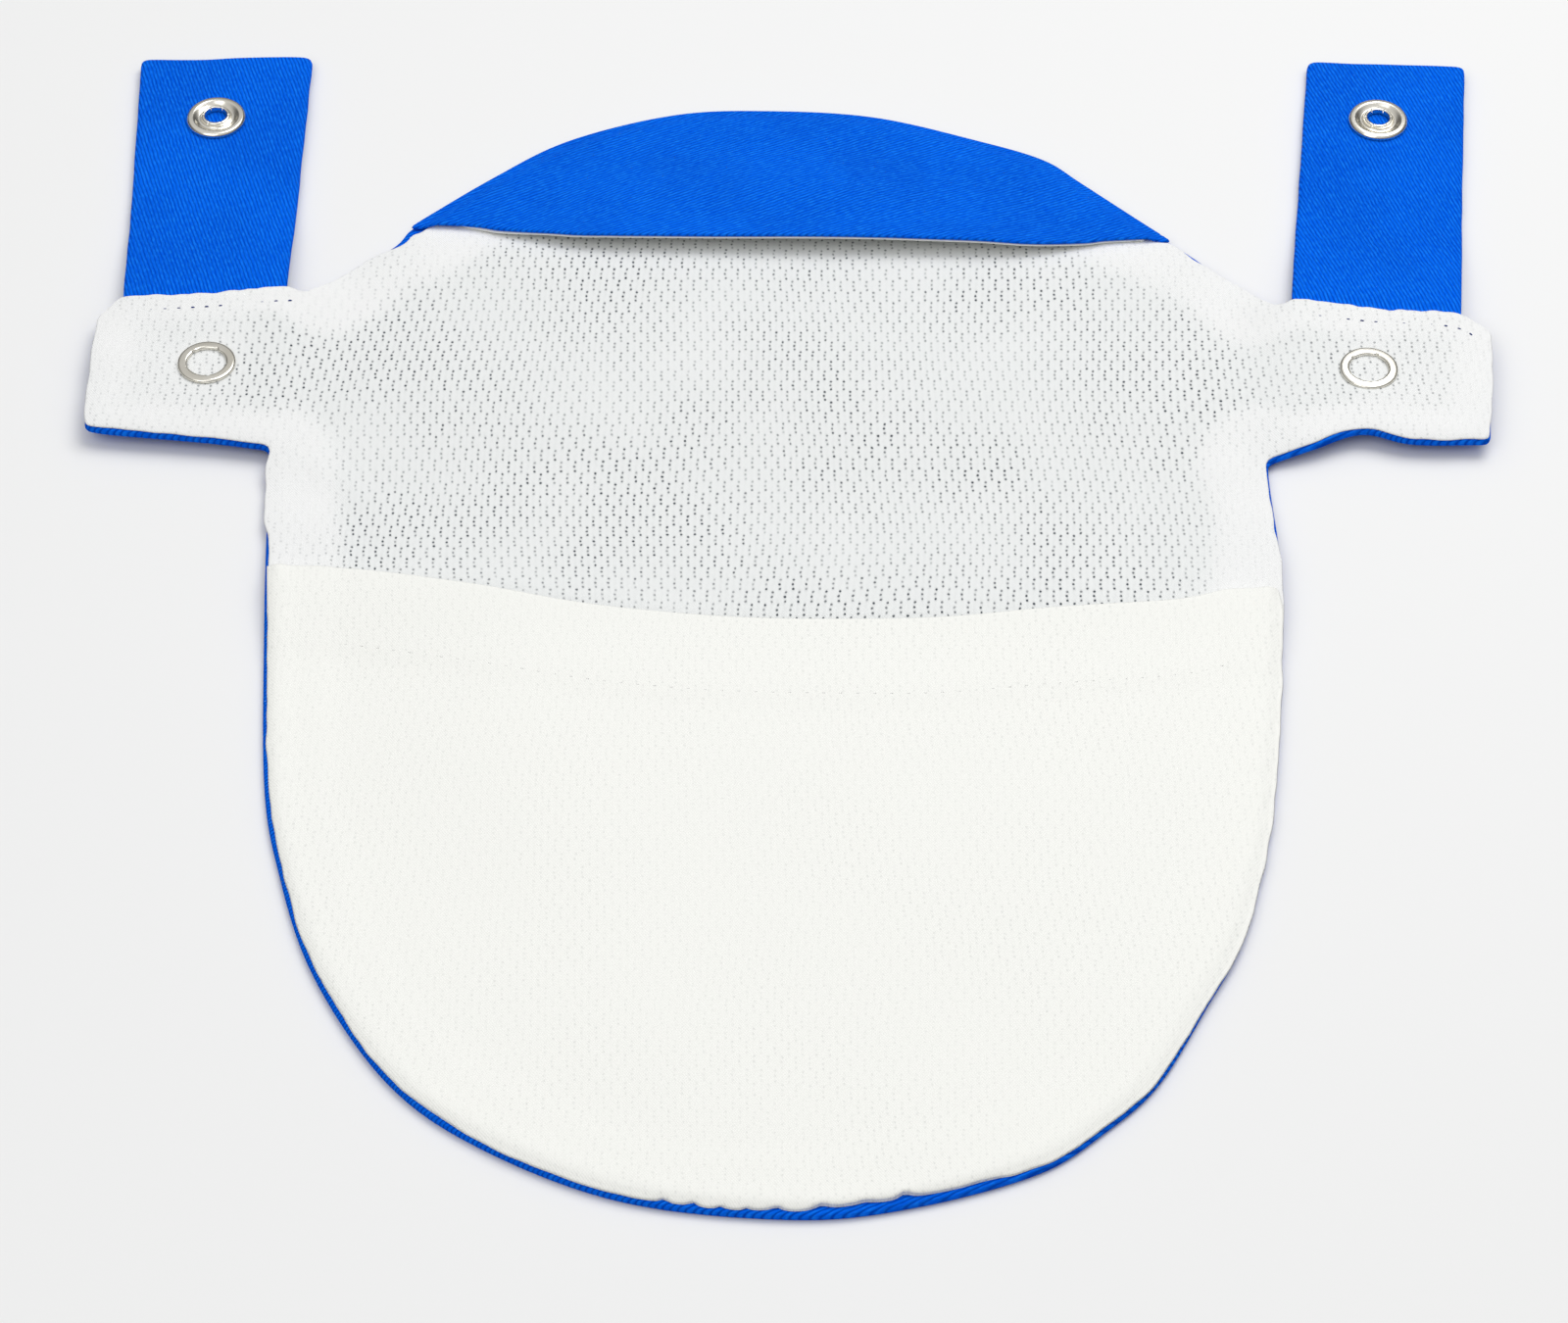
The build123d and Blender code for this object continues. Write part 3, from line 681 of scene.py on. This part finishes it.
def lining_inset(loop):
    """How far the lining stops short of the panel's edge. It laps over the sewn end of each strap."""
    x, y = loop[:, 0], loop[:, 1]
    inset = np.full(len(loop), 0.35)

    # The lower edge, the left side above the pocket and the tabs' ends
    inset += 0.3 * smooth(-40, -80, x) * smooth(10, -5, y)
    inset += 0.15 * smooth(-85, -110, y)
    inset += 0.6 * np.exp(-((x - 13) / 17) ** 2) * smooth(-100, -110, y)
    inset -= 0.85 * smooth(-70, -74, x) * smooth(7, 12, y) * smooth(27, 23, y)
    inset -= 0.55 * smooth(110, 113, np.abs(x)) * smooth(30, 34, y)
    for place, depth, width in BOTTOM_NOTCHES:
        inset += depth * np.exp(-np.abs((x - place) / width) ** 1.3) * smooth(-100, -110, y)

    # The hood's corners and the right side, where the white comes up to the edge
    inset += 0.9 * np.exp(-((x + 68) ** 2 + (y - 78) ** 2) / 10)
    inset -= 0.6 * smooth(46, 60, x) * smooth(-102, -76, y) * smooth(10, 2, y)
    inset -= 0.25 * smooth(25, 36, x) * smooth(-92, -100, y)
    inset += 0.6 * np.exp(-((x - 67) ** 2 + (y - 74) ** 2) / 14)
    inset += 0.22 * rumple(x, y, 3.5, 8.4) + 0.2 * rumple(x, y, 14.0, 2.6)

    # Over the straps' sewn ends, and under the hood
    tab_top = smooth(50, 57, y) * np.maximum(smooth(-82, -86, x), smooth(79, 83, x))
    tab_top *= smooth(115.5, 112.0, np.abs(x))
    inset -= (1.2 + 0.5 * rumple(x, y, 2.2, 5.1)) * tab_top
    slope = smooth(62, 66, y) * smooth(79, 75, y)
    return inset - 0.5 * slope + 1.8 * smooth(79, 82, y)


def single_layer(x, y, edge):
    """1 where one layer of mesh lies over the panel, and less over the seam allowance."""
    in_tab = np.maximum(smooth(-80, -88, x), smooth(74, 82, x)) * smooth(20, 30, y)
    start = 9.5 - 4.0 * in_tab
    faint = 0.2 + 0.25 * rumple(x, y, 11, 9.2)
    patch = 0.8 - 0.35 * in_tab * smooth(88, 94, np.abs(x))
    inner = smooth(start - 1, start + 3.5, edge + 2.2 * rumple(x, y, 14, 1.7))
    return np.clip(faint + patch * inner, 0.05, 1.0)


def panel_edge(x, y):
    """How far places are from the panel's edge."""
    return edge_distance(np.column_stack([x, y]), PANEL)


def make_lining(material):
    """The mesh over the whole front."""
    loop = inward(PANEL, lining_inset(PANEL))

    def low(x, y, edge):
        return base_height(x, y) + panel_thickness(panel_edge(x, y), y) + LAYER_GAP

    def high(x, y, edge):
        return lining_top(x, y, panel_edge(x, y))

    piece = cloth_sheet("mesh_lining_cloth", loop, low, high, material, edge_height=0.15, edge_radius=0.3,
                        numbers=single_layer)
    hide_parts("mesh_lining")
    return piece, loop


# ---------------------------------------------------------------- pieces: pocket
POCKET_MOUTH = [
    (75.0, -4.4), (66.4, -5.0), (57.3, -7.6), (38.6, -10.7), (20.2, -12.9), (1.9, -13.0), (-16.4, -12.2),
    (-34.8, -9.8), (-53.4, -5.3), (-72.1, -0.7), (-84.3, 0.6),
]
POCKET_SLACK = 3.2
POCKET_THICKNESS = 0.75
HEM_DEPTH = 16.5
HEM_EXTRA = 0.35
HEM_STITCH_LIFT = 1.4
SEWN_TOP = -8.5


def mouth_line(x):
    """The mouth's y at each x."""
    points = flowing(POCKET_MOUTH, 2.0)[::-1]
    return np.interp(x, points[:, 0], points[:, 1])


def pocket_low(x, y, edge):
    """The pocket's back face: on the lining at the sewn edge, and slack towards the mouth's middle."""
    rim = panel_edge(x, y)
    below = mouth_line(x) - y
    slack = smooth(1.0, 42, rim) * (0.25 + 0.75 * smooth(75, 4, below))
    folds = 0.35 * rumple(x, y, 26, 5.2) * smooth(2, 15, rim)
    return lining_top(x, y, rim) + LOOSE_GAP + np.maximum(POCKET_SLACK * slack + folds, LAYER_GAP)


def pocket_high(x, y, edge):
    """The pocket's front face, thicker over the hem, with a slight groove at the hem's stitches."""
    below = mouth_line(x) - y
    hem = HEM_EXTRA * (1 - smooth(HEM_DEPTH - 1.0, HEM_DEPTH + 1.2, below))
    groove = 0.06 * np.exp(-(below - HEM_DEPTH + HEM_STITCH_LIFT) ** 2)
    cloth = POCKET_THICKNESS * (0.2 + 0.8 * smooth(0.2, 2.6, panel_edge(x, y)))
    return pocket_low(x, y, edge) + cloth + hem - groove


def make_pocket(material):
    """The mesh pocket over the lower half, with its folded hem."""
    rim = inward(PANEL, lining_inset(PANEL) + 0.05)
    sewn = rim[PANEL[:, 1] < SEWN_TOP]
    loop = closed([POCKET_MOUTH[-1], *sewn.tolist(), POCKET_MOUTH[0]], POCKET_MOUTH, step=0.75, rounding=0)

    def single(x, y, edge):
        return np.ones(len(x))

    piece = cloth_sheet("pocket_cloth", loop, pocket_low, pocket_high, material,
                        edge_height=0.15, edge_radius=0.2, numbers=single)
    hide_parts("pocket_panel")
    return piece, loop


# ---------------------------------------------------------------- pieces: hood
HOOD_FREE_EDGE = [
    (-66.6, 80.8), (-56.0, 80.2), (-43.2, 77.4), (-33.0, 75.4), (-2.7, 74.4), (30.0, 73.7), (40.0, 74.0),
    (52.0, 76.4), (63.2, 77.3),
]
HOOD_SECTOR = np.vstack([flowing(HOOD_ARC), [(-120.0, 0.0), (120.0, 0.0)]])
HOOD_SLACK = 3.0
HOOD_SEAM = 3.2
HOOD_LINING_THICKNESS = 0.4
HOOD_THICKNESS = 0.8


def hood_depth(x, y):
    """How far inside the hood's sewn arc places are."""
    return edge_distance(np.column_stack([x, y]), HOOD_SECTOR)


def hood_space(x, y, edge):
    """The front face of what lies under the hood's own lining."""
    depth = hood_depth(x, y)
    middle = np.clip(1 - ((x + 2.5) / 64) ** 2, 0, 1) ** 0.8
    slack = HOOD_SLACK * middle * smooth(2, 27, depth)
    folds = 0.3 * rumple(x, y, 21, 7.7) * smooth(3, 14, depth)
    return lining_top(x, y, panel_edge(x, y)) + LOOSE_GAP + slack + np.maximum(folds, -slack)


def hood_low(x, y, edge):
    """The hood's back face: on its own lining, and down on the panel's edge along the arc."""
    on_lining = hood_space(x, y, edge) + HOOD_LINING_THICKNESS + LAYER_GAP
    on_panel = base_height(x, y) + HIGH_BEAD + LAYER_GAP
    share = smooth(1.2, 3.4, hood_depth(x, y))
    return on_panel * (1 - share) + on_lining * share


def make_hood(material, lining_material):
    """The twill hood and the mesh that lines it."""
    loop = closed(HOOD_ARC, HOOD_FREE_EDGE)

    def high(x, y, edge):
        return hood_low(x, y, edge) + HOOD_THICKNESS

    hood = cloth_sheet("hood_cloth", loop, hood_low, high, material, pitch=1.6, edge_radius=0.55)
    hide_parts("hood_outer")
    declare_sheet(hood, loop, "laid", ["hood_lining_cloth"])

    arc = inward_open(flowing(HOOD_ARC), HOOD_SEAM)[3:-3]
    shown = [(x, y + 0.1) for x, y in HOOD_FREE_EDGE[1:-1]]
    inner = closed(arc[::4].tolist(), [tuple(arc[::4][-1]), *shown, tuple(arc[0])])

    def lining_high(x, y, edge):
        return hood_space(x, y, edge) + HOOD_LINING_THICKNESS

    def mostly_double(x, y, edge):
        return np.full(len(x), 0.2)

    lining = cloth_sheet("hood_lining_cloth", inner, hood_space, lining_high, lining_material,
                         pitch=1.6, edge_radius=0.3, numbers=mostly_double)
    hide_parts("hood_lining")
    declare_sheet(lining, inner, "laid", ["mesh_lining_cloth"])


# ---------------------------------------------------------------- pieces: straps
STRAP_SEAM = {"left": [(-112.8, 60.6), (-85.7, 63.1)], "right": [(81.7, 60.2), (109.7, 56.6)]}
STRAP_END = {
    "left": [
        (-85.7, 124.3), (-87.6, 125.0), (-97.5, 124.9), (-105.0, 124.1), (-114.6, 124.1), (-115.8, 123.4),
    ],
    "right": [
        (116.9, 121.8), (115.2, 122.3), (105.0, 123.1), (97.0, 123.4), (90.4, 123.8), (89.3, 123.0),
    ],
}
STRAP_THICKNESS = 1.6
STRAP_TUCK = 0.5
FOLD_GAP = 2.9
HINGE_HEIGHT = 3.05
STRAP_REST = 1.5
STRAP_DROP = 22.0
SNAP_PLACE = {
    "left_tab": (-97.5, 45.7), "right_tab": (93.2, 44.3),
    "left_strap": (-101.2, 107.7), "right_strap": (100.3, 107.1),
}


def strap_frame(side):
    """The seam's middle and the direction from it towards the strap's free end."""
    start, end = np.array(STRAP_SEAM[side])
    along = (end - start) / np.linalg.norm(end - start)
    return (start + end) / 2, np.array([-along[1], along[0]])


def strap_travel(side, x, y):
    """How far places are from the strap's seam, towards its free end."""
    seam, away = strap_frame(side)
    return (x - seam[0]) * away[0] + (y - seam[1]) * away[1]


def strap_middle(side, x, y):
    """The height of the strap's middle: level at the seam, and then down on the table."""
    travel = strap_travel(side, x, y) - FOLD_GAP
    drop = (HINGE_HEIGHT - STRAP_REST) * smooth(0, STRAP_DROP, travel)
    snap = np.hypot(x - SNAP_PLACE[side + "_strap"][0], y - SNAP_PLACE[side + "_strap"][1])
    free = smooth(7, 16, snap) * smooth(8, 26, travel)
    tucked = 0.12 * smooth(0.3, -FOLD_GAP, travel)
    return HINGE_HEIGHT - tucked - drop + free * (0.35 * rumple(x, y, 19, 4.4) - 0.3)


def make_strap(side, material):
    """A doubled twill strap, which bends next to its seam."""
    seam, away = strap_frame(side)
    sewn = [tuple(np.array(p) - away * STRAP_TUCK) for p in STRAP_SEAM[side]]
    free = STRAP_END[side]
    loop = closed(sewn, [sewn[1], free[0]], free, [free[-1], sewn[0]], step=0.7, rounding=2)
    loop = inward(loop, 0.12 * rumple(loop[:, 0], loop[:, 1], 6, 3.3))

    def half(x, y):
        return STRAP_THICKNESS / 2 * (0.35 + 0.65 * smooth(0.6, 3.2, strap_travel(side, x, y)))

    def low(x, y, edge):
        return strap_middle(side, x, y) - half(x, y)

    def high(x, y, edge):
        return strap_middle(side, x, y) + half(x, y)

    piece = cloth_sheet(side + "_strap_cloth", loop, low, high, material,
                        pitch=0.9, edge_radius=0.6, body=None)
    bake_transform(piece)
    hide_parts(side + "_strap")
    declare_sheet(piece, loop, "folded", ["floor"])


# ---------------------------------------------------------------- pieces: stitches
STITCH_SIDES = 8
STITCH_STEPS = 6
TOPSTITCH_INSET, TOPSTITCH_PITCH, TOPSTITCH_LENGTH, TOPSTITCH_WIDTH = 2.5, 2.3, 0.7, 0.25
TOPSTITCH_SPAN = (83.5, 112.0)
HEM_STITCH_PITCH, HEM_STITCH_LENGTH, HEM_STITCH_WIDTH = 2.6, 0.7, 0.2
HEM_STITCH_SPAN = (-72, 66)
SEAM_INSET, SEAM_PITCH, SEAM_LENGTH, SEAM_WIDTH = 1.1, 2.4, 1.5, 0.24
SEAM_TOP = 56.5


def stitches(name, places, heading, height, length, width, material, node):
    """A row of small raised stitches: one rounded bar at each place, along its heading."""
    points, faces, flat = [], [], []
    rounds, steps = STITCH_SIDES, STITCH_STEPS
    for (x, y), turn in zip(places, heading):
        along = np.array([math.cos(turn), math.sin(turn)])
        side = np.array([-along[1], along[0]])
        z = float(height(np.array([x]), np.array([y]))[0])
        first = len(points)
        for i in range(steps + 1):
            t = i / steps * 2 - 1
            radius = width / 2 * math.sqrt(max(1 - t ** 4, 0.02))
            sunk = 0.35 * width * t ** 4
            for j in range(rounds):
                a = 2 * math.pi * j / rounds
                place = np.array([x, y]) + along * t * length / 2 + side * radius * math.cos(a)
                points.append((*place, z - sunk + radius * math.sin(a)))
                flat.append((t * length / 2, j * width / 3))
        for i in range(steps):
            for j in range(rounds):
                a, b = first + i * rounds + j, first + i * rounds + (j + 1) % rounds
                faces.append((a, a + rounds, b + rounds))
                faces.append((a, b + rounds, b))
        for j in range(1, rounds - 1):
            faces.append((first, first + j, first + j + 1))
            last = first + steps * rounds
            faces.append((last, last + j + 1, last + j))
    piece = new_object(name, points, faces, material, POUCH, flat)
    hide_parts(node)


def spaced(run, pitch, start=0.0):
    """Places pitch apart along an open run, with the run's heading at each."""
    run = np.asarray(run, float)
    lengths = np.linalg.norm(np.diff(run, axis=0), axis=1)
    travel = np.concatenate([[0], np.cumsum(lengths)])
    marks = np.arange(start + pitch / 2, travel[-1], pitch)
    places = np.column_stack([np.interp(marks, travel, run[:, k]) for k in (0, 1)])
    ahead = np.column_stack([np.interp(marks + 0.3, travel, run[:, k]) for k in (0, 1)])
    back = np.column_stack([np.interp(marks - 0.3, travel, run[:, k]) for k in (0, 1)])
    return places, np.arctan2(*(ahead - back).T[::-1])


def front_height(x, y):
    """The lining's front face, for what lies on it."""
    return lining_top(x, y, panel_edge(x, y))


def on_tab(x, y):
    """Where the topstitching lies: a little proud of the lining."""
    return front_height(x, y) + 0.1


def on_pocket(x, y):
    """Where the hem's stitches lie: sunk in the pocket's front face."""
    return pocket_high(x, y, None) - 0.05


def under_lining(x, y):
    """Where the seam round the edge lies: between the panel and the lining."""
    return base_height(x, y) + panel_thickness(panel_edge(x, y), y) - 0.08


def make_stitches(paints):
    """The seam round the edge, the hem's row and the topstitching of both tabs."""
    for side, run in (("left", LEFT_TAB_TOP), ("right", RIGHT_TAB_TOP)):
        row = inward_open(flowing(run, 1.0), TOPSTITCH_INSET)
        out = np.abs(row[:, 0])
        row = row[(out > TOPSTITCH_SPAN[0]) & (out < TOPSTITCH_SPAN[1])]
        places, heading = spaced(row, TOPSTITCH_PITCH)
        stitches(side + "_topstitches", places, heading, on_tab, TOPSTITCH_LENGTH, TOPSTITCH_WIDTH,
                 paints["blue_thread"], side + "_tab_topstitch")
    xs = np.linspace(*HEM_STITCH_SPAN, 120)
    hem = np.column_stack([xs, mouth_line(xs) - HEM_DEPTH + HEM_STITCH_LIFT])
    places, heading = spaced(hem, HEM_STITCH_PITCH)
    stitches("hem_stitches", places, heading, on_pocket, HEM_STITCH_LENGTH, HEM_STITCH_WIDTH,
             paints["white_thread"], "pocket_hem_stitch")
    seam = inward(PANEL, lining_inset(PANEL) + SEAM_INSET)
    places, heading = spaced(np.vstack([seam, seam[:1]]), SEAM_PITCH)
    keep = places[:, 1] < SEAM_TOP
    stitches("seam_stitches", places[keep], heading[keep], under_lining, SEAM_LENGTH, SEAM_WIDTH,
             paints["white_thread"], "perimeter_seam_thread")


# ---------------------------------------------------------------- pieces: snaps
def lathe(name, profile, place, bottom, material, body, node, sides=120, dent=None):
    """A closed ring turned from a profile of (radius, height) points. dent changes a point by its angle."""
    profile = np.array(profile, float)
    count = len(profile)
    points, faces = [], []
    for i in range(sides):
        a = 2 * math.pi * i / sides
        for k, (radius, height) in enumerate(profile):
            r, h = (radius, height) if dent is None else dent(a, radius, height)
            points.append((place[0] + r * math.cos(a), place[1] + r * math.sin(a), bottom + h))
    for i in range(sides):
        for k in range(count):
            a, b = i * count + k, i * count + (k + 1) % count
            c, d = ((i + 1) % sides) * count + k, ((i + 1) % sides) * count + (k + 1) % count
            faces += [(a, c, d), (a, d, b)]
    piece = new_object(name, points, faces, material, body)
    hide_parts(node)


def rounded(corners, radius, steps=5):
    """A closed profile with its corners rounded."""
    corners = [np.array(c, float) for c in corners]
    points = []
    for k, corner in enumerate(corners):
        before, after = corners[k - 1], corners[(k + 1) % len(corners)]
        to_before = (before - corner) / np.linalg.norm(before - corner)
        to_after = (after - corner) / np.linalg.norm(after - corner)
        reach = min(radius, np.linalg.norm(before - corner) * 0.45, np.linalg.norm(after - corner) * 0.45)
        for i in range(steps + 1):
            t = i / steps
            points.append(corner + to_before * reach * (1 - t) ** 2 + to_after * reach * t ** 2)
    return points


PRONGS = 5
PRONG_TURN = 1.1
PRONG_DENT = 0.22
SLITS = 6
SLIT_FLOOR = 0.45
COLLAR_RADIUS = 2.56
RING_HEIGHT = 0.7
RING_PROFILE = rounded([
    (3.2, 0.0), (4.75, 0.0), (4.75, 0.5), (4.45, 0.68), (3.45, RING_HEIGHT), (3.2, 0.55),
], 0.2)
SOCKET_PROFILE = rounded([
    (2.3, 0.0), (5.1, 0.0), (5.12, 0.55), (4.75, 0.95), (4.0, 1.0), (3.45, 0.55), (3.0, 0.28), (2.62, 0.4),
    (2.5, 1.05), (2.2, 1.2), (1.92, 1.1), (1.87, 0.1),
], 0.2)
STUD_PROFILE = rounded([
    (0.6, 0.0), (1.55, 0.0), (1.8, 0.35), (1.66, 0.9), (1.75, 1.5), (4.4, 1.62), (4.75, 1.9), (4.7, 2.38),
    (0.6, 2.38),
], 0.22)


def prong_dent(angle, radius, height):
    """Small notches in the inner edge, where the prongs are bent down from the ring."""
    share = max(0.0, (math.cos(PRONGS * (angle - PRONG_TURN)) - 0.9) / 0.1)
    return radius + PRONG_DENT * share * (radius < 3.5), height


def slit_dent(angle, radius, height):
    """Slits through the collar. off is the distance round it to the nearest slit."""
    off = abs((angle * SLITS / (2 * math.pi) + 0.5) % 1.0 - 0.5) / SLITS * 2 * math.pi * 2.2
    if radius < COLLAR_RADIUS and off < 0.06:
        return radius, min(height, SLIT_FLOOR)
    return radius, height


def make_snaps(material):
    """Open-ring snaps: rings and studs on the tabs, and sockets with their rings on the straps."""
    for side in ("left", "right"):
        tab, strap = SNAP_PLACE[side + "_tab"], SNAP_PLACE[side + "_strap"]
        top = float(front_height(np.array([tab[0]]), np.array([tab[1]]))[0])
        lathe(side + "_tab_ring", RING_PROFILE, tab, top, material, POUCH, side + "_tab_prong_ring",
              dent=prong_dent)
        lathe(side + "_tab_back_stud", STUD_PROFILE, tab, LAYER_GAP, material, POUCH, side + "_tab_stud")
        body = STRAP_BODY[side]
        lathe(side + "_socket", SOCKET_PROFILE, strap, STRAP_REST + STRAP_THICKNESS / 2, material, body,
              side + "_strap_socket", sides=180, dent=slit_dent)
        back = [(r, RING_HEIGHT - h) for r, h in RING_PROFILE][::-1]
        lathe(side + "_strap_back_ring", back, strap, 0.0, material, body, side + "_strap_prong_ring")


# ---------------------------------------------------------------- the whole pouch
def build():
    """Makes every piece and its material."""
    paints = {
        "hood": twill("hood_twill", RIB_ANGLE, groove_share=0.8, streak_share=0.1),
        # The panel's copy of the twill is a little darker (depth 0.95): painted shade for its turned edges.
        "panel": twill("panel_twill", RIB_ANGLE, depth=0.95),
        "strap": twill("strap_twill", STRAP_RIB_ANGLE, groove_share=0.8, streak_share=0.08),
        # The meshes' pinholes are drawn in painted shade; hole_shade_share sets how dark it is.
        "mesh": mesh_knit("lining_mesh", LINING_WHITE, LINING_THIN_WHITE, LINING_HOLE_SHADE,
                          hole_shade_share=1.0, grain_depth=0.14),
        "pocket": mesh_knit("pocket_mesh", POCKET_WHITE, POCKET_WHITE, POCKET_HOLE_SHADE,
                            hole_shade_share=0.16, grain_depth=0.1),
        "white_thread": thread("white_thread", WHITE_THREAD),
        "blue_thread": thread("blue_thread", BLUE_THREAD),
        "nickel": nickel("nickel"),
    }
    make_panel(paints["panel"])
    lining = make_lining(paints["mesh"])
    pocket = make_pocket(paints["pocket"])
    make_hood(paints["hood"], paints["pocket"])
    for side in ("left", "right"):
        make_strap(side, paints["strap"])
    make_stitches(paints)
    on_lining = ["left_topstitches", "right_topstitches", "seam_stitches"]
    declare_sheet(*lining, "laid", ["back_panel"], with_pieces=on_lining)
    declare_sheet(*pocket, "laid", ["mesh_lining_cloth"], with_pieces=["hem_stitches"])
    make_snaps(paints["nickel"])


make_stage()
build()
make_camera()
